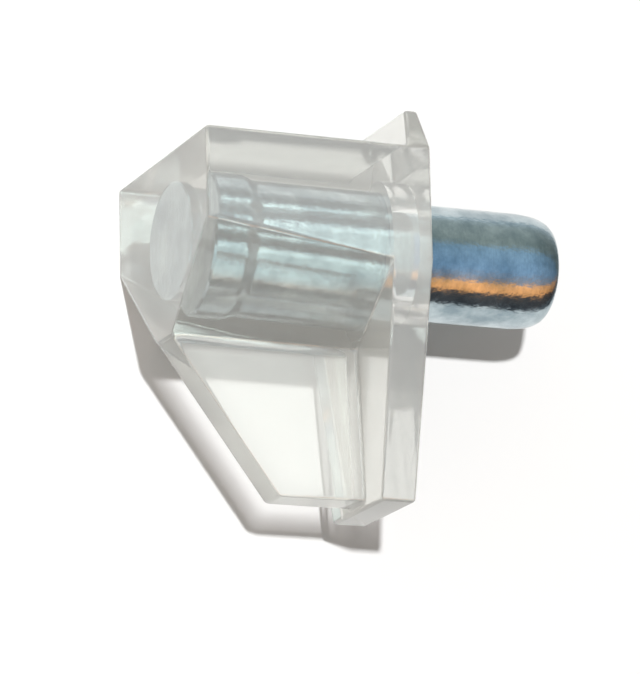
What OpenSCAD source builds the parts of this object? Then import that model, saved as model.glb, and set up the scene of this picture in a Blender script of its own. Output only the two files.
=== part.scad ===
// Shelf support pin: a clear moulded bracket carries the shelf, and a steel pin
// moulded into it plugs into the 5 mm hole of a cabinet's side panel.
// The origin is on the pin's axis in the plane of the panel's face. +X runs
// along the pin into the panel, +Z is up, and the part is symmetric about Y = 0.

/* [Pin] */
// Diameter of the stretch that goes into the panel
pin_d = 5; // [4.5:0.1:6]
// Length that stands out of the bracket
pin_reach = 7.3; // [6:0.1:12]
// Depth of the pin's inner end behind the panel's face
pin_depth = 8.9; // [7:0.1:9.5]
// Length of the full-width head that locks the inner end in the plastic
pin_head_l = 1.7; // [1:0.1:3]
// Depth of the shank's step below the pin's surface
pin_step = 0.2; // [0.18:0.01:0.4]
// Length of the rounding at the outer end
pin_round_l = 1.5; // [0.5:0.1:2]
// Depth of the rounding at the outer end
pin_round_r = 0.45; // [0.2:0.05:0.8]

/* [Seat] */
// Width of the seat and of the top of the back plate
seat_w = 10.2; // [9.2:0.1:14]
// Distance from the panel's face to the bracket's front face
seat_l = 10.1; // [9.8:0.1:14]
// Height of the seat above the pin's axis
seat_h = 3.6; // [3.3:0.1:6]
// Drop of the seat block's side edge below the axis, at the front
edge_drop_front = 0.25; // [0.1:0.05:1]
// Drop of the side edge below the axis, at the back plate
edge_drop_back = 1.3; // [1:0.05:2]

/* [Rib] */
// Thickness of the rib under the seat block
rib_t = 1.7; // [1.2:0.1:3]
// Depth of the seat block's keel below the axis, where the rib starts
keel_drop = 4.3; // [4:0.1:6]
// Distance from the panel's face to the rib's foot
rib_foot_x = 5.4; // [4:0.1:8]
// Rise of the rib's lower edge above the plate's lower edge
rib_foot_rise = 0.3; // [0:0.1:1]

/* [Back plate] */
// Thickness of the back plate at the seat
plate_t = 1.8; // [1.5:0.1:3]
// Thickness of the back plate at its lower edge
plate_foot_t = 1.55; // [1.2:0.05:2.5]
// Depth of the plate's lower edge below the axis
plate_drop = 11.1; // [9:0.1:16]
// Width of the plate at its lower edge
plate_foot_w = 5.2; // [3:0.1:8]
// Depth of the relief round the pin in the plate's back
relief_depth = 1.2; // [0.5:0.1:1.4]
// Gap between the relief's wall and the pin's own diameter
relief_gap = 0.3; // [0.2:0.05:0.5]

/* [Lip] */
// Height of the locating lip above the seat
lip_h = 1.9; // [1:0.1:3]
// Thickness of the lip where it leaves the seat
lip_t = 1.05; // [0.8:0.05:1.5]
// Width of the lip at its crest
lip_top_w = 7.8; // [5:0.1:9]
// Thickness of the lip at its rounded crest
lip_top_t = 0.6; // [0.4:0.05:0.8]

/* [Hidden] */
$fn = 96;

// Overlap where two shapes of the bracket run into each other
weld = 0.3;
// Thickness of the end slices that the seat block is stretched between
slice_t = 0.05;
// Steps in the curve at the pin's outer end
round_steps = 8;

pin_r = pin_d / 2;
shank_r = pin_r - pin_step;
seat_half = seat_w / 2;
rib_half = rib_t / 2;

// Outline of the pin in radius and length, from its inner end outwards
pin_outline = concat(
    [
        [0, -pin_depth],
        [pin_r, -pin_depth],
        [pin_r, pin_head_l - pin_depth],
        [shank_r, pin_head_l - pin_depth],
        [shank_r, 0],
        [pin_r, 0],
    ],
    [
        for (i = [0 : round_steps])
            let (a = 90 * i / round_steps)
            [
                pin_r - pin_round_r * (1 - cos(a)),
                pin_reach - pin_round_l * (1 - sin(a)),
            ]
    ],
    [[0, pin_reach]]
);

// Stands a shape drawn along Z on the panel's face, pointing along +X
module along_x() {
    rotate([0, 90, 0]) children();
}

// Extrudes an outline drawn in Y and Z from x0 towards +X
module slab_yz(x0, t) {
    translate([x0, 0, 0])
        rotate([90, 0, 90])
            linear_extrude(t) children();
}

// Extrudes an outline drawn in X and Z to both sides of the middle plane
module slab_xz(w) {
    translate([0, w / 2, 0])
        rotate([90, 0, 0])
            linear_extrude(w) children();
}

// Section of the seat block: flat top, upright sides, and a keel as wide as the rib
module seat_section(edge_drop) {
    polygon([
        [-seat_half, seat_h],
        [seat_half, seat_h],
        [seat_half, -edge_drop],
        [rib_half, -keel_drop],
        [-rib_half, -keel_drop],
        [-seat_half, -edge_drop],
    ]);
}

module seat_block() {
    hull() {
        slab_yz(-seat_l, slice_t) seat_section(edge_drop_front);
        slab_yz(-plate_t, slice_t) seat_section(edge_drop_back);
    }
}

// The plate narrows below the side edge and gets thinner towards its foot
module back_plate() {
    intersection() {
        slab_yz(-plate_t, plate_t)
            polygon([
                [-seat_half, seat_h],
                [seat_half, seat_h],
                [seat_half, -edge_drop_back],
                [plate_foot_w / 2, -plate_drop],
                [-plate_foot_w / 2, -plate_drop],
                [-seat_half, -edge_drop_back],
            ]);
        slab_xz(seat_w)
            polygon([
                [0, seat_h],
                [-plate_t, seat_h],
                [-plate_t, -edge_drop_back],
                [-plate_foot_t, -plate_drop],
                [0, -plate_drop],
            ]);
    }
}

module rib() {
    foot_z = rib_foot_rise - plate_drop;
    slab_xz(rib_t)
        polygon([
            [-seat_l, weld - keel_drop],
            [-seat_l, -keel_drop],
            [-rib_foot_x, foot_z],
            [-weld, foot_z],
            [-weld, weld - keel_drop],
        ]);
}

// The lip stops the shelf short of the panel; its crest is a round bar
module lip() {
    crest_r = lip_top_t / 2;
    hull() {
        translate([-lip_t, -seat_half, seat_h - weld])
            cube([lip_t, seat_w, weld]);
        translate([-crest_r, lip_top_w / 2, seat_h + lip_h - crest_r])
            rotate([90, 0, 0])
                cylinder(h = lip_top_w, r = crest_r, $fn = 32);
    }
}

// Everything that the plastic flows round: the pin, and the relief round its shank
module moulded_hollow() {
    along_x() {
        rotate_extrude() polygon(pin_outline);
        translate([0, 0, -relief_depth])
            cylinder(h = relief_depth + weld, r = pin_r + relief_gap);
    }
}

module bracket() {
    color([0.86, 0.88, 0.84, 0.45])
        difference() {
            union() {
                seat_block();
                back_plate();
                rib();
                lip();
            }
            moulded_hollow();
        }
}

module pin() {
    color([0.66, 0.70, 0.74])
        along_x() rotate_extrude() polygon(pin_outline);
}

bracket();
pin();
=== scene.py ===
import math

import bmesh
import bpy
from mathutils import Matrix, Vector


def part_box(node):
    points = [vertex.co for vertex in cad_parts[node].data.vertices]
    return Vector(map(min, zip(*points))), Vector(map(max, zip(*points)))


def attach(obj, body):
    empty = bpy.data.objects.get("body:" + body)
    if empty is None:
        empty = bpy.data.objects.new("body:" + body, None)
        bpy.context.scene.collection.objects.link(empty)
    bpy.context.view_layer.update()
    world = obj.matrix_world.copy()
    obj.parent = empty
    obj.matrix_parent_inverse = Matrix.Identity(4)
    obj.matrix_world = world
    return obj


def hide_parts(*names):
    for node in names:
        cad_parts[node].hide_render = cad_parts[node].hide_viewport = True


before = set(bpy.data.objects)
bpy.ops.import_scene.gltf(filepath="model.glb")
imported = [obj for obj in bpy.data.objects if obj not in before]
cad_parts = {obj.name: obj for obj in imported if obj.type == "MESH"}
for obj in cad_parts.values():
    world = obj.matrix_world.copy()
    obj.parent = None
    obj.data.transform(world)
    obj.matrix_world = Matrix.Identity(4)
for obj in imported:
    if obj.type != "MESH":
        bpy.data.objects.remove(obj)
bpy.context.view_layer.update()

bl_info = {
    "name": "Shelf support pin",
    "version": (1, 0, 0),
    "blender": (4, 5, 0),
    "location": "3D View > Sidebar > Shelf Pin",
    "description": "Models a clear shelf support bracket with a zinc-plated steel pin moulded into it",
    "category": "Add Mesh",
}

MM = 0.001
BRACKET_LOW, BRACKET_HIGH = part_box("bracket")
PIN_LOW, PIN_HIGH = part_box("pin")

# A vertex this near a plane counts as lying in it
NEAR = 0.01 * MM
# Edges sharper than this stay sharp in the shading
SHARP = math.radians(28)
# Corners further forward than this aren't on the panel's face
OFF_PANEL = -0.1 * MM
# The block's twisted sides are cut into this many strips
STRIPS = 12
# How far the hollow in the plastic stays inside the pin's surface
BITE = 0.015 * MM
# Chamfer at the pin's inner end
PIN_CHAMFER = 0.1 * MM
# The way that the lamp's light goes, the lamp's width, and how far off it is
KEY_WAY = (0.227, 0.974, -0.03)
LAMP_SIZE = 0.012
LAMP_DISTANCE = 0.35
# The paper's width, the place of its middle along X, and its gap to the part
PAPER_SIZE = 120 * MM
PAPER_X = -35 * MM
PAPER_GAP = 0.02 * MM
# The odd place that the bracket's corners are numbered from, by distance
SORT_PLACE = (0.031, 0.047, 0.073)

# The room's light by angle about the X axis, in degrees: -90 is below, 0 is level with the
# camera's side, 90 is above, and 180 is behind the paper. This is what the bare pin mirrors.
MIRRORED = (
    (-180, (0.15, 0.16, 0.18)),
    (-102, (0.3, 0.33, 0.36)),
    (-97, (0.08, 0.08, 0.09)),
    (-66, (0.13, 0.12, 0.12)),
    (-62, (1.8, 0.75, 0.27)),
    (-44, (1.8, 0.82, 0.33)),
    (-40, (0.55, 0.48, 0.5)),
    (-18, (0.4, 0.6, 0.85)),
    (25, (0.4, 0.58, 0.75)),
    (35, (0.4, 0.45, 0.42)),
    (80, (0.5, 0.55, 0.53)),
    (95, (0.7, 0.78, 0.82)),
    (180, (0.15, 0.16, 0.18)),
)
# What lights dull surfaces
DIFFUSE = (
    (-180, (0.5, 0.49, 0.48)),
    (-100, (0.3, 0.285, 0.27)),
    (-50, (0.125, 0.115, 0.105)),
    (20, (0.13, 0.125, 0.118)),
    (100, (0.32, 0.315, 0.305)),
    (180, (0.5, 0.49, 0.48)),
)
# What shows through the clear plastic
THROUGH = (
    (-180, (1.0, 1.0, 0.98)),
    (-105, (0.8, 0.8, 0.76)),
    (-90, (0.03, 0.05, 0.05)),
    (-66, (0.03, 0.05, 0.05)),
    (-61, (1.3, 1.0, 0.8)),
    (-50, (1.2, 1.3, 1.25)),
    (-22, (1.2, 1.5, 1.5)),
    (2, (1.2, 1.5, 1.5)),
    (18, (1.1, 1.4, 1.4)),
    (25, (2.3, 2.7, 2.65)),
    (37, (2.3, 2.7, 2.65)),
    (46, (0.3, 0.4, 0.42)),
    (58, (0.03, 0.06, 0.07)),
    (80, (0.06, 0.1, 0.11)),
    (95, (0.9, 0.92, 0.9)),
    (180, (1.0, 1.0, 0.98)),
)


# Working in edit mode


def focus(obj):
    """Leaves edit mode, and makes obj the one selected object."""
    if bpy.context.object and bpy.context.object.mode != "OBJECT":
        bpy.ops.object.mode_set(mode="OBJECT")
    bpy.ops.object.select_all(action="DESELECT")
    if obj:
        obj.select_set(True)
    bpy.context.view_layer.objects.active = obj


def name_piece(name):
    """Names the object just added, and puts its place in its mesh."""
    obj = bpy.context.object
    obj.name = obj.data.name = name
    bpy.ops.object.transform_apply(location=True, rotation=True, scale=True)
    return obj


def add_block(name, low, high):
    """A cube stretched between two corners."""
    focus(None)
    low, high = Vector(low), Vector(high)
    bpy.ops.mesh.primitive_cube_add(size=1, location=(low + high) / 2, scale=high - low)
    return name_piece(name)


def pick(obj, test):
    """Enters edit mode with the vertices selected whose place passes the test."""
    focus(obj)
    bpy.ops.object.mode_set(mode="EDIT")
    bpy.ops.mesh.select_mode(type="VERT")
    bpy.ops.mesh.select_all(action="DESELECT")
    mesh = bmesh.from_edit_mesh(obj.data)
    for vertex in mesh.verts:
        vertex.select = test(vertex.co)
    mesh.select_flush_mode()
    bmesh.update_edit_mesh(obj.data)


def shift_picked(x=0.0, y=0.0, z=0.0):
    bpy.ops.transform.translate(value=(x, y, z))


def widen_picked(share):
    """Scales what is selected across the bracket, about the middle plane."""
    bpy.ops.transform.resize(value=(1, share, 1), center_override=(0, 0, 0))


def score(obj, point, normal):
    """Cuts an edge line right round obj, in the plane through point."""
    pick(obj, lambda co: True)
    cut_picked(point, normal)


def cut_picked(point, normal):
    bpy.ops.mesh.bisect(plane_co=point, plane_no=Vector(normal).normalized(), threshold=0.0001 * MM)


def combine(obj, tool, operation):
    """Adds tool to obj or cuts it away, and drops tool."""
    focus(obj)
    bpy.ops.object.modifier_add(type="BOOLEAN")
    modifier = obj.modifiers[-1]
    modifier.operation = operation
    modifier.solver = "EXACT"
    modifier.object = tool
    bpy.ops.object.modifier_apply(modifier=modifier.name)
    bpy.data.objects.remove(tool)


def round_edges(obj, width, segments, sharper_than):
    focus(obj)
    bpy.ops.object.modifier_add(type="BEVEL")
    modifier = obj.modifiers[-1]
    modifier.width = width
    modifier.segments = segments
    modifier.limit_method = "ANGLE"
    modifier.angle_limit = sharper_than
    modifier.use_clamp_overlap = False
    modifier.miter_outer = "MITER_ARC"
    bpy.ops.object.modifier_apply(modifier=modifier.name)


def set_order(obj):
    """Numbers the corners anew by place, because a union numbers them differently each run."""
    pick(obj, lambda co: True)
    bpy.context.scene.cursor.location = SORT_PLACE
    bpy.ops.mesh.sort_elements(type="CURSOR_DISTANCE", elements={"VERT", "EDGE", "FACE"})
    bpy.context.scene.cursor.location = (0, 0, 0)
    focus(obj)


def turn(name, outline, segments=128):
    """A round bar along X: a disc at the first (x, radius), extruded and scaled to each next one."""
    focus(None)
    x, radius = outline[0]
    bpy.ops.mesh.primitive_circle_add(
        vertices=segments, radius=radius, fill_type="NGON",
        location=(x, 0, 0), rotation=(0, math.pi / 2, 0),
    )
    obj = name_piece(name)
    pick(obj, lambda co: True)
    for (x0, r0), (x1, r1) in zip(outline, outline[1:]):
        bpy.ops.mesh.extrude_region_move(TRANSFORM_OT_translate={"value": (x1 - x0, 0, 0)})
        bpy.ops.transform.resize(value=(1, r1 / r0, r1 / r0), center_override=(x1, 0, 0))
    bpy.ops.mesh.select_all(action="SELECT")
    bpy.ops.mesh.normals_make_consistent(inside=False)
    focus(obj)
    return obj


def quarter_round(x0, r0, along, inwards, steps):
    """Outline points of a rounded end: from (x0, r0) it runs along and turns inwards."""
    points = []
    for i in range(steps + 1):
        a = math.pi / 2 * i / steps
        points.append((x0 + along * math.sin(a), r0 - inwards * (1 - math.cos(a))))
    return points


def check_made(obj):
    """Stops the script if a step took the whole piece away, or if a modifier wasn't applied."""
    if obj.modifiers or not obj.data.polygons:
        raise RuntimeError(f"{obj.name} couldn't be finished")


def smooth(obj, sharper_than):
    """Shades the roundings smooth, and keeps the flat faces between them flat."""
    focus(obj)
    bpy.ops.object.shade_smooth_by_angle(angle=sharper_than)
    bpy.ops.object.modifier_add(type="WEIGHTED_NORMAL")
    modifier = obj.modifiers[-1]
    modifier.weight = 100
    modifier.keep_sharp = True
    bpy.ops.object.modifier_apply(modifier=modifier.name)


# Working with materials


def blank_material(name):
    """A material with only a Principled shader and an output."""
    material = bpy.data.materials.new(name)
    material.use_nodes = True
    nodes = material.node_tree.nodes
    shader = next(n for n in nodes if n.type == "BSDF_PRINCIPLED")
    output = next(n for n in nodes if n.type == "OUTPUT_MATERIAL")
    return material, shader, output


def add_node(material, kind, **values):
    """A node of that kind, with its settings and its sockets' values by name."""
    node = material.node_tree.nodes.new(kind)
    for key, value in values.items():
        if hasattr(node, key):
            setattr(node, key, value)
        else:
            node.inputs[key.replace("_", " ")].default_value = value
    return node


def wire(material, source, target):
    material.node_tree.links.new(source, target)


def noise(material, scale, detail=4.0, roughness=0.5, stretch=(1, 1, 1)):
    """Noise in the object's own coordinates, with its scale in features a metre."""
    place = add_node(material, "ShaderNodeTexCoord")
    mapping = add_node(material, "ShaderNodeMapping", Scale=stretch)
    texture = add_node(
        material, "ShaderNodeTexNoise", Scale=scale, Detail=detail, Roughness=roughness,
    )
    wire(material, place.outputs["Object"], mapping.inputs["Vector"])
    wire(material, mapping.outputs["Vector"], texture.inputs["Vector"])
    return texture.outputs["Fac"]


def remap(material, source, low, high, to_low, to_high):
    node = add_node(
        material, "ShaderNodeMapRange",
        From_Min=low, From_Max=high, To_Min=to_low, To_Max=to_high,
    )
    wire(material, source, node.inputs["Value"])
    return node.outputs["Result"]


def scaled(material, colour, amount):
    node = add_node(material, "ShaderNodeVectorMath", operation="SCALE")
    wire(material, colour, node.inputs[0])
    wire(material, amount, node.inputs["Scale"])
    return node.outputs["Vector"]


def join(material, operation, first, second):
    node = add_node(material, "ShaderNodeMath", operation=operation)
    wire(material, first, node.inputs[0])
    wire(material, second, node.inputs[1])
    return node.outputs["Value"]


def bump(material, height, distance, strength=1.0, onto=None):
    node = add_node(material, "ShaderNodeBump", Strength=strength, Distance=distance)
    wire(material, height, node.inputs["Height"])
    if onto:
        wire(material, onto, node.inputs["Normal"])
    return node.outputs["Normal"]


def ramp(material, source, stops):
    """Colours by value: stops are (position, colour)."""
    node = add_node(material, "ShaderNodeValToRGB")
    bar = node.color_ramp
    for position, colour in stops[len(bar.elements):]:
        bar.elements.new(position)
    for element, (position, colour) in zip(bar.elements, stops):
        element.position = position
        element.color = (*colour, 1)
    wire(material, source, node.inputs["Fac"])
    return node.outputs["Color"]


# Settings


class BracketSettings(bpy.types.PropertyGroup):
    """Sizes and finish of the clear moulding"""

    seat_height: bpy.props.FloatProperty(
        name="Seat height", description="Height of the seat above the pin's axis",
        default=3.6 * MM, min=3.3 * MM, max=6 * MM, unit="LENGTH", precision=5,
    )
    edge_drop_front: bpy.props.FloatProperty(
        name="Side edge, front", description="Drop of the seat block's side edge at the front",
        default=0.25 * MM, unit="LENGTH", precision=5,
    )
    edge_drop_back: bpy.props.FloatProperty(
        name="Side edge, back", description="Drop of the seat block's side edge at the plate",
        default=1.3 * MM, unit="LENGTH", precision=5,
    )
    keel_drop: bpy.props.FloatProperty(
        name="Keel drop", description="Depth below the axis where the rib starts",
        default=4.3 * MM, unit="LENGTH", precision=5,
    )
    rib_thickness: bpy.props.FloatProperty(
        name="Rib thickness", description="Thickness of the rib under the seat block",
        default=1.7 * MM, unit="LENGTH", precision=5,
    )
    rib_foot: bpy.props.FloatProperty(
        name="Rib foot", description="Distance of the rib's foot from the panel's face",
        default=5.4 * MM, unit="LENGTH", precision=5,
    )
    rib_rise: bpy.props.FloatProperty(
        name="Rib rise", description="Rise of the rib's lower edge above the plate's",
        default=0.3 * MM, unit="LENGTH", precision=5,
    )
    plate_thickness: bpy.props.FloatProperty(
        name="Plate thickness", description="Thickness of the back plate at the seat",
        default=1.8 * MM, unit="LENGTH", precision=5,
    )
    plate_foot_thickness: bpy.props.FloatProperty(
        name="Plate foot thickness", description="Thickness of the back plate at its lower edge",
        default=1.55 * MM, unit="LENGTH", precision=5,
    )
    plate_foot_width: bpy.props.FloatProperty(
        name="Plate foot width", description="Width of the back plate at its lower edge",
        default=5.2 * MM, unit="LENGTH", precision=5,
    )
    lip_thickness: bpy.props.FloatProperty(
        name="Lip thickness", description="Thickness of the lip at the seat",
        default=1.05 * MM, unit="LENGTH", precision=5,
    )
    lip_crest_width: bpy.props.FloatProperty(
        name="Lip crest width", description="Width of the lip at its crest",
        default=7.8 * MM, unit="LENGTH", precision=5,
    )
    lip_crest_thickness: bpy.props.FloatProperty(
        name="Lip crest thickness", description="Thickness of the lip at its crest",
        default=0.6 * MM, unit="LENGTH", precision=5,
    )
    relief_depth: bpy.props.FloatProperty(
        name="Relief depth", description="Depth of the relief round the pin in the plate's back",
        default=1.2 * MM, unit="LENGTH", precision=5,
    )
    relief_gap: bpy.props.FloatProperty(
        name="Relief gap", description="Gap between the relief's wall and the pin",
        default=0.3 * MM, unit="LENGTH", precision=5,
    )
    edge_radius: bpy.props.FloatProperty(
        name="Edge radius", description="Rounding of the moulding's edges",
        default=0.16 * MM, unit="LENGTH", precision=5,
    )
    tint: bpy.props.FloatVectorProperty(
        name="Tint", description="Colour of the clear plastic's surface",
        default=(0.97, 0.975, 0.94), min=0, max=1, subtype="COLOR",
    )
    deep_tint: bpy.props.FloatVectorProperty(
        name="Deep tint", description="Colour that thick parts of the plastic take on",
        default=(0.8, 0.79, 0.62), min=0, max=1, subtype="COLOR",
    )
    clarity: bpy.props.FloatProperty(
        name="Clarity", description="Share of the light that the plastic's surface lets in",
        default=0.75, min=0, max=1, subtype="FACTOR",
    )


class PinSettings(bpy.types.PropertyGroup):
    """Sizes and finish of the steel pin"""

    head_length: bpy.props.FloatProperty(
        name="Head length", description="Length of the head that locks the pin in the plastic",
        default=1.7 * MM, unit="LENGTH", precision=5,
    )
    step: bpy.props.FloatProperty(
        name="Step", description="Depth of the shank below the pin's surface",
        default=0.2 * MM, unit="LENGTH", precision=5,
    )
    neck: bpy.props.FloatProperty(
        name="Neck", description="Length over which the pin's radius changes",
        default=0.7 * MM, unit="LENGTH", precision=5,
    )
    round_length: bpy.props.FloatProperty(
        name="Rounding length", description="Length of the rounding at the outer end",
        default=1.5 * MM, unit="LENGTH", precision=5,
    )
    round_depth: bpy.props.FloatProperty(
        name="Rounding depth", description="Depth of the rounding at the outer end",
        default=0.45 * MM, unit="LENGTH", precision=5,
    )
    dull_colour: bpy.props.FloatVectorProperty(
        name="Dull colour", description="Colour of the duller patches in the zinc plating",
        default=(0.27, 0.35, 0.39), min=0, max=1, subtype="COLOR",
    )
    bright_colour: bpy.props.FloatVectorProperty(
        name="Bright colour", description="Colour of the brighter patches in the zinc plating",
        default=(0.55, 0.64, 0.67), min=0, max=1, subtype="COLOR",
    )


class StageSettings(bpy.types.PropertyGroup):
    """Floor, light and camera"""

    azimuth: bpy.props.FloatProperty(
        name="Camera azimuth", description="Turn of the camera round the part, from the -Y side",
        default=math.radians(-23.5), subtype="ANGLE",
    )
    elevation: bpy.props.FloatProperty(
        name="Camera elevation", description="Angle of the camera above the pin's level",
        default=math.radians(-14.34), subtype="ANGLE",
    )
    roll: bpy.props.FloatProperty(
        name="Camera roll", description="Turn of the camera about its own line of sight",
        default=math.radians(-1.42), subtype="ANGLE",
    )
    distance: bpy.props.FloatProperty(
        name="Camera distance", description="Distance from the camera to the point it looks at",
        default=185.1 * MM, unit="LENGTH",
    )
    focus_point: bpy.props.FloatVectorProperty(
        name="Look at", description="Point that the camera looks at",
        default=(-2.72 * MM, 0.75 * MM, -3.41 * MM), subtype="XYZ", precision=5,
    )
    lens: bpy.props.FloatProperty(
        name="Lens", description="Focal length of the camera, in millimetres", default=233.5,
    )
    paper_colour: bpy.props.FloatVectorProperty(
        name="Paper", description="Colour of the paper that the part lies on",
        default=(0.9, 0.9, 0.9), min=0, max=1, subtype="COLOR",
    )
    backdrop: bpy.props.FloatVectorProperty(
        name="Backdrop", description="Colour of the room where the camera sees past the paper",
        default=(0.98, 0.98, 0.98), min=0, max=1, subtype="COLOR",
    )
    lamp_power: bpy.props.FloatProperty(
        name="Lamp power", description="Power of the lamp", default=1.09, min=0, unit="POWER",
    )


# The bracket


def seat_block(s):
    """The block that carries the shelf: upright sides, and under its keel the rib, cut back to its foot."""
    low = Vector((BRACKET_LOW.x, BRACKET_LOW.y, -s.keel_drop))
    high = Vector((-s.plate_thickness, BRACKET_HIGH.y, s.seat_height))
    obj = add_block("seat_block", low, high)
    length = high.x - low.x
    fall = s.edge_drop_back - s.edge_drop_front
    score(obj, (low.x, 0, -s.edge_drop_front), (fall, 0, length))
    for i in range(1, STRIPS):
        score(obj, (low.x + length * i / STRIPS, 0, 0), (1, 0, 0))
    pick(obj, lambda co: co.z < low.z + NEAR)
    widen_picked(s.rib_thickness / (high.y - low.y))
    foot_z = BRACKET_LOW.z + s.rib_rise
    bpy.ops.mesh.extrude_region_move(TRANSFORM_OT_translate={"value": (0, 0, foot_z - low.z)})
    share = (s.rib_foot - s.plate_thickness) / length
    bpy.ops.transform.resize(value=(share, 1, 1), center_override=(high.x, 0, 0))
    bury_end(obj, high)
    bpy.ops.mesh.select_all(action="SELECT")
    bpy.ops.mesh.quads_convert_to_tris()
    focus(obj)
    return obj


def bury_end(obj, high):
    """Draws the block's end on into the plate and shrinks its tip, so that the two join cleanly."""
    straight, taper = 0.3 * MM, 0.2 * MM
    pick(obj, lambda co: co.x > high.x - NEAR)
    bpy.ops.mesh.extrude_region_move(TRANSFORM_OT_translate={"value": (straight, 0, 0)})
    bpy.ops.mesh.extrude_region_move(TRANSFORM_OT_translate={"value": (taper, 0, 0)})
    widen_picked(0.97)
    tip = high.x + straight + taper - NEAR
    pick(obj, lambda co: co.x > tip and co.z > high.z - NEAR)
    shift_picked(z=-taper)


def back_plate(s):
    """The plate that bears on the panel. It narrows below the side edge, and thins to its foot."""
    obj = add_block(
        "back_plate",
        (-s.plate_thickness, BRACKET_LOW.y, BRACKET_LOW.z),
        (0, BRACKET_HIGH.y, s.seat_height),
    )
    score(obj, (0, 0, -s.edge_drop_back), (0, 0, 1))
    at_foot = lambda co: co.z < BRACKET_LOW.z + NEAR
    pick(obj, at_foot)
    widen_picked(s.plate_foot_width / (BRACKET_HIGH.y - BRACKET_LOW.y))
    pick(obj, lambda co: at_foot(co) and co.x < OFF_PANEL)
    shift_picked(x=s.plate_thickness - s.plate_foot_thickness)
    add_lip(obj, s)
    return obj


def add_lip(obj, s):
    """Draws the lip up out of the plate's top. Its sides and front slope to its crest."""
    at_top = lambda co: co.z > s.seat_height - NEAR
    pick(obj, at_top)
    cut_picked((-s.lip_thickness, 0, 0), (1, 0, 0))
    pick(obj, lambda co: at_top(co) and co.x > -s.lip_thickness - NEAR)
    rise = BRACKET_HIGH.z - s.seat_height
    bpy.ops.mesh.extrude_region_move(TRANSFORM_OT_translate={"value": (0, 0, rise)})
    widen_picked(s.lip_crest_width / (BRACKET_HIGH.y - BRACKET_LOW.y))
    pick(obj, lambda co: co.z > BRACKET_HIGH.z - NEAR and co.x < OFF_PANEL)
    shift_picked(x=s.lip_thickness - s.lip_crest_thickness)


def moulded_hollow(s, p):
    """What the plastic flows round. It bites into the pin a little, so no air shows between them."""
    radius = PIN_HIGH.z
    shank = radius - p.step
    relief = radius + s.relief_gap
    outline = [(PIN_LOW.x + BITE, radius - PIN_CHAMFER), (PIN_LOW.x + BITE + PIN_CHAMFER, radius)]
    outline += head_neck(p)
    outline = [(x, r - BITE) for x, r in outline]
    outline += [(-s.relief_depth, shank - BITE), (-s.relief_depth, relief), (0.5 * MM, relief)]
    return turn("moulded_hollow", outline)


def head_neck(p):
    """Outline points of the swaged neck between the pin's head and its shank."""
    radius = PIN_HIGH.z
    end = PIN_LOW.x + p.head_length
    return neck(end - p.neck / 2, radius, end + p.neck / 2, radius - p.step)


def neck(x0, r0, x1, r1, steps=8):
    """Outline points of a smooth change from one radius to another."""
    points = []
    for i in range(steps + 1):
        share = (1 - math.cos(math.pi * i / steps)) / 2
        points.append((x0 + (x1 - x0) * i / steps, r0 + (r1 - r0) * share))
    return points


def painted_rib_shadow(material, s):
    """Painted shadow: a share of the lamp light set by place alone. It is a quarter at the rib's sloping
    edge and foot and rises to 1 further in, so the rib's cast shadow is darker along its edges.
    """
    place = add_node(material, "ShaderNodeTexCoord")
    foot = Vector((-s.rib_foot, 0, BRACKET_LOW.z + s.rib_rise))
    slope = Vector((BRACKET_LOW.x, 0, -s.keel_drop)) - foot
    painted_shade_width, least = 1.1 * MM, 0.25
    shares = []
    for way in (Vector((-slope.z, 0, slope.x)).normalized() * -1, Vector((0, 0, 1))):
        along = add_node(material, "ShaderNodeVectorMath", operation="DOT_PRODUCT")
        along.inputs[1].default_value = way
        wire(material, place.outputs["Object"], along.inputs[0])
        start = foot.dot(way)
        shares.append(remap(material, along.outputs["Value"], start, start + painted_shade_width, least, 1.0))
    return join(material, "MINIMUM", shares[0], shares[1])


def light_through(material, s):
    """How much lamp light a face lets straight through.

    It is much where the face squarely faces the lamp or the panel, and little where it slopes,
    because a sloping face bends the light away. Near the rib's sloping edge and foot, a painted shadow set
    by place alone cuts it further.
    """
    surface = add_node(material, "ShaderNodeNewGeometry")
    shares = []
    for way, low, high, most in ((KEY_WAY, 0.92, 0.965, 1.0), ((1, 0, 0), 0.95, 0.98, 0.75)):
        along = add_node(material, "ShaderNodeVectorMath", operation="DOT_PRODUCT")
        along.inputs[1].default_value = way
        wire(material, surface.outputs["True Normal"], along.inputs[0])
        size = add_node(material, "ShaderNodeMath", operation="ABSOLUTE")
        wire(material, along.outputs["Value"], size.inputs[0])
        shares.append(remap(material, size.outputs["Value"], low, high, 0.0, most))
    share = join(material, "MAXIMUM", shares[0], shares[1])
    # Painted shadow: near the rib's sloping edge and foot the share is lowered by place, not by how the
    # light falls
    lit_share_with_painted_shade = join(material, "MULTIPLY", share, painted_rib_shadow(material, s))
    clear = add_node(material, "ShaderNodeBsdfTransparent")
    stops = [(0.0, (0.1, 0.08, 0.07)), (0.5, (0.5, 0.49, 0.49)), (1.0, (0.97, 0.97, 0.97))]
    tint = ramp(material, lit_share_with_painted_shade, stops)
    wire(material, tint, clear.inputs["Color"])
    return clear.outputs["BSDF"]


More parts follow.
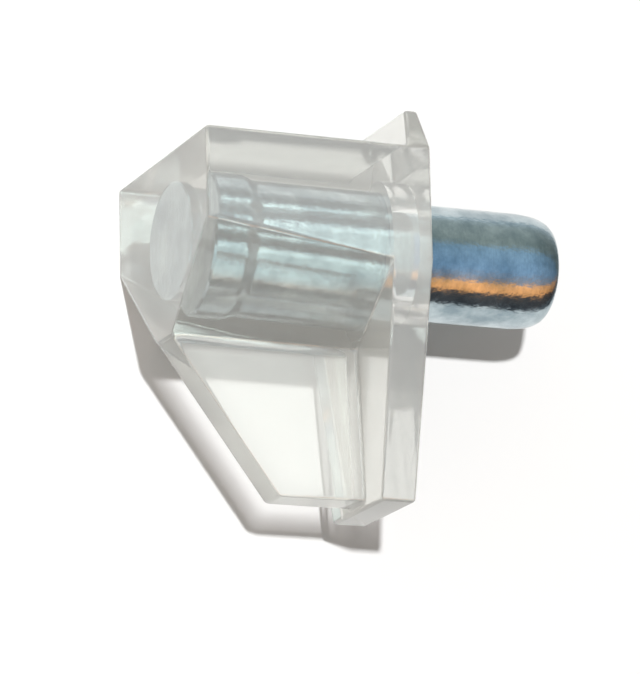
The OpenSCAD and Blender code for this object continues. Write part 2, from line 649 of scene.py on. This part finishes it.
def clear_plastic(s):
    material, shader, output = blank_material("clear_plastic")
    shader.inputs["Base Color"].default_value = (*s.tint, 1)
    shader.inputs["Transmission Weight"].default_value = s.clarity
    shader.inputs["IOR"].default_value = 1.53
    haze = noise(material, 900, detail=5)
    wire(material, remap(material, haze, 0.35, 0.75, 0.03, 0.08), shader.inputs["Roughness"])
    ripple = bump(material, noise(material, 260, detail=2), 0.02 * MM, 0.5)
    wire(material, ripple, shader.inputs["Normal"])
    milk = add_node(
        material, "ShaderNodeVolumeScatter", Color=(0.97, 0.97, 0.93, 1), Density=30.0, Anisotropy=-0.3,
    )
    depth = add_node(material, "ShaderNodeVolumeAbsorption", Color=(*s.deep_tint, 1), Density=20.0)
    inside = add_node(material, "ShaderNodeAddShader")
    wire(material, milk.outputs["Volume"], inside.inputs[0])
    wire(material, depth.outputs["Volume"], inside.inputs[1])
    wire(material, inside.outputs["Shader"], output.inputs["Volume"])
    path = add_node(material, "ShaderNodeLightPath")
    mix = add_node(material, "ShaderNodeMixShader")
    wire(material, path.outputs["Is Shadow Ray"], mix.inputs["Fac"])
    wire(material, shader.outputs["BSDF"], mix.inputs[1])
    wire(material, light_through(material, s), mix.inputs[2])
    wire(material, mix.outputs["Shader"], output.inputs["Surface"])
    return material


class SHELFPIN_OT_bracket(bpy.types.Operator):
    """Model the clear moulded bracket"""

    bl_idname = "shelfpin.bracket"
    bl_label = "Mould bracket"

    def execute(self, context):
        s, p = context.scene.shelfpin_bracket, context.scene.shelfpin_pin
        obj = seat_block(s)
        combine(obj, back_plate(s), "UNION")
        pick(obj, lambda co: True)
        bpy.ops.mesh.remove_doubles(threshold=NEAR)
        bpy.ops.mesh.dissolve_limited(angle_limit=math.radians(0.2))
        set_order(obj)
        round_edges(obj, s.edge_radius, segments=3, sharper_than=math.radians(12))
        combine(obj, moulded_hollow(s, p), "DIFFERENCE")
        obj.name = obj.data.name = "clear_bracket"
        smooth(obj, SHARP)
        check_made(obj)
        obj.data.materials.clear()
        obj.data.materials.append(clear_plastic(s))
        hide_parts("bracket")
        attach(obj, "root")
        return {"FINISHED"}


# The pin


def zinc(s):
    material, shader, _ = blank_material("bright_zinc")
    shader.inputs["Metallic"].default_value = 1.0
    cloud = noise(material, 700, detail=6, roughness=0.6)
    colour = ramp(material, cloud, [(0.36, s.dull_colour), (0.64, s.bright_colour)])
    wire(material, colour, shader.inputs["Base Color"])
    frost = noise(material, 2600, detail=4)
    wire(material, remap(material, frost, 0.35, 0.7, 0.14, 0.26), shader.inputs["Roughness"])
    shader.inputs["Anisotropic"].default_value = 0.7
    shader.inputs["Anisotropic Rotation"].default_value = 0.25
    around = add_node(material, "ShaderNodeTangent", direction_type="RADIAL", axis="X")
    wire(material, around.outputs["Tangent"], shader.inputs["Tangent"])
    turned = bump(material, noise(material, 9000, detail=2, stretch=(1, 0.08, 0.08)), 0.006 * MM, 0.9)
    orange_peel = bump(material, noise(material, 1500, detail=3), 0.012 * MM, 0.5, onto=turned)
    pits = bump(material, noise(material, 5200, detail=3), 0.012 * MM, 1.0, onto=orange_peel)
    wire(material, pits, shader.inputs["Normal"])
    return material


class SHELFPIN_OT_pin(bpy.types.Operator):
    """Turn the steel pin"""

    bl_idname = "shelfpin.pin"
    bl_label = "Turn pin"

    def execute(self, context):
        p = context.scene.shelfpin_pin
        radius = PIN_HIGH.z
        outline = [(PIN_LOW.x, radius - PIN_CHAMFER), (PIN_LOW.x + PIN_CHAMFER, radius)]
        outline += head_neck(p)
        outline += neck(-p.neck * 1.5, radius - p.step, -0.1 * MM, radius)
        round_start = PIN_HIGH.x - p.round_length
        outline += quarter_round(round_start, radius, p.round_length, p.round_depth, steps=12)
        obj = turn("steel_pin", outline)
        smooth(obj, SHARP)
        check_made(obj)
        obj.data.materials.clear()
        obj.data.materials.append(zinc(p))
        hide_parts("pin")
        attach(obj, "root")
        return {"FINISHED"}


# The stage


def one_sided_paper(s):
    """White paper that shows from the part's side only, so the part can be seen from behind."""
    material, shader, output = blank_material("white_paper")
    shader.inputs["Base Color"].default_value = (*s.paper_colour, 1)
    shader.inputs["Roughness"].default_value = 0.9
    side = add_node(material, "ShaderNodeNewGeometry")
    clear = add_node(material, "ShaderNodeBsdfTransparent")
    mix = add_node(material, "ShaderNodeMixShader")
    wire(material, side.outputs["Backfacing"], mix.inputs["Fac"])
    wire(material, shader.outputs["BSDF"], mix.inputs[1])
    wire(material, clear.outputs["BSDF"], mix.inputs[2])
    wire(material, mix.outputs["Shader"], output.inputs["Surface"])
    return material


def add_paper(s):
    """The part lies on its side on a sheet of paper, which is upright in the part's own frame."""
    focus(None)
    place = (PAPER_X, BRACKET_HIGH.y + PAPER_GAP, 0)
    bpy.ops.mesh.primitive_plane_add(size=PAPER_SIZE, location=place, rotation=(math.pi / 2, 0, 0))
    obj = name_piece("paper")
    obj.data.materials.append(one_sided_paper(s))


def by_angle(world, turned, table):
    """One of the tables of light as a colour ramp, where 0 to 1 is a full turn."""
    return ramp(world, turned, [((degrees + 180) / 360, colour) for degrees, colour in table])


def room_light(scene, s):
    """A pale room. What reflects straight off a surface also shows bands of furniture and shade."""
    world = bpy.data.worlds.new("room")
    scene.world = world
    world.use_nodes = True
    world.node_tree.nodes.clear()
    place = add_node(world, "ShaderNodeTexCoord")
    split = add_node(world, "ShaderNodeSeparateXYZ")
    wire(world, place.outputs["Generated"], split.inputs["Vector"])
    towards = add_node(world, "ShaderNodeMath", operation="MULTIPLY")
    towards.inputs[1].default_value = -1
    wire(world, split.outputs["Y"], towards.inputs[0])
    angle = add_node(world, "ShaderNodeMath", operation="ARCTAN2")
    wire(world, split.outputs["Z"], angle.inputs[0])
    wire(world, towards.outputs["Value"], angle.inputs[1])
    turned = remap(world, angle.outputs["Value"], -math.pi, math.pi, 0, 1)
    far_side = remap(world, split.outputs["X"], 0.35, 0.85, 1.0, 0.42)
    bands = scaled(world, by_angle(world, turned, MIRRORED), far_side)
    near_side = remap(world, split.outputs["X"], -1.0, 0.0, 6.3, 1.35)
    soft = scaled(world, by_angle(world, turned, DIFFUSE), near_side)
    through = by_angle(world, turned, THROUGH)
    path = add_node(world, "ShaderNodeLightPath")
    previous = None
    after_paper = join(world, "MULTIPLY", path.outputs["Is Transmission Ray"], path.outputs["Diffuse Depth"])
    lights = (
        (soft, None),
        (bands, path.outputs["Is Glossy Ray"]),
        (through, path.outputs["Is Transmission Ray"]),
        ((0, 0, 0, 1), after_paper),
        ((*s.backdrop, 1), path.outputs["Is Camera Ray"]),
    )
    for colour, share in lights:
        light = add_node(world, "ShaderNodeBackground")
        if isinstance(colour, tuple):
            light.inputs["Color"].default_value = colour
        else:
            wire(world, colour, light.inputs["Color"])
        if previous:
            mix = add_node(world, "ShaderNodeMixShader")
            wire(world, share, mix.inputs["Fac"])
            wire(world, previous, mix.inputs[1])
            wire(world, light.outputs["Background"], mix.inputs[2])
            previous = mix.outputs["Shader"]
        else:
            previous = light.outputs["Background"]
    output = add_node(world, "ShaderNodeOutputWorld")
    wire(world, previous, output.inputs["Surface"])


def add_lamp(name, direction, energy, size, distance):
    """A square lamp that shines at the part along direction."""
    way = Vector(direction).normalized()
    bpy.ops.object.light_add(type="AREA", location=-way * distance)
    lamp = bpy.context.object
    lamp.name = name
    lamp.data.energy = energy
    lamp.data.size = size
    lamp.rotation_euler = way.to_track_quat("-Z", "Y").to_euler()
    lamp.visible_transmission = False
    lamp.visible_glossy = False


def add_camera(scene, s):
    bpy.ops.object.camera_add()
    camera = bpy.context.object
    camera.name = "camera"
    camera.data.lens = s.lens
    back = Vector((
        math.sin(s.azimuth) * math.cos(s.elevation),
        -math.cos(s.azimuth) * math.cos(s.elevation),
        math.sin(s.elevation),
    ))
    camera.location = Vector(s.focus_point) + back * s.distance
    level = (-back).to_track_quat("-Z", "Y")
    camera.rotation_euler = level.to_euler()
    camera.rotation_euler.rotate_axis("Z", s.roll)
    camera.data.clip_start = 0.01
    camera.data.clip_end = 10
    scene.camera = camera


class SHELFPIN_OT_stage(bpy.types.Operator):
    """Set the paper, the light and the camera"""

    bl_idname = "shelfpin.stage"
    bl_label = "Set stage"

    def execute(self, context):
        scene = context.scene
        s = scene.shelfpin_stage
        add_paper(s)
        room_light(scene, s)
        add_lamp("key", KEY_WAY, s.lamp_power, LAMP_SIZE, LAMP_DISTANCE)
        add_camera(scene, s)
        scene.view_settings.view_transform = "Standard"
        return {"FINISHED"}


# The add-on


class SHELFPIN_PT_panel(bpy.types.Panel):
    """Lists the pieces and the stage"""

    bl_label = "Shelf support pin"
    bl_idname = "SHELFPIN_PT_panel"
    bl_space_type = "VIEW_3D"
    bl_region_type = "UI"
    bl_category = "Shelf Pin"

    def draw(self, context):
        for operator, settings in PARTS:
            box = self.layout.box()
            box.operator(operator.bl_idname)
            group = getattr(context.scene, settings)
            for name in group.__annotations__:
                box.prop(group, name)


PARTS = (
    (SHELFPIN_OT_bracket, "shelfpin_bracket"),
    (SHELFPIN_OT_pin, "shelfpin_pin"),
    (SHELFPIN_OT_stage, "shelfpin_stage"),
)
SETTINGS = {
    "shelfpin_bracket": BracketSettings,
    "shelfpin_pin": PinSettings,
    "shelfpin_stage": StageSettings,
}
CLASSES = (*SETTINGS.values(), *(operator for operator, _ in PARTS), SHELFPIN_PT_panel)


def register():
    for cls in CLASSES:
        bpy.utils.register_class(cls)
    for name, group in SETTINGS.items():
        setattr(bpy.types.Scene, name, bpy.props.PointerProperty(type=group))


def unregister():
    for name in SETTINGS:
        delattr(bpy.types.Scene, name)
    for cls in reversed(CLASSES):
        bpy.utils.unregister_class(cls)


def main():
    register()
    bpy.ops.shelfpin.bracket()
    bpy.ops.shelfpin.pin()
    bpy.ops.shelfpin.stage()
    focus(None)


if __name__ == "__main__":
    main()
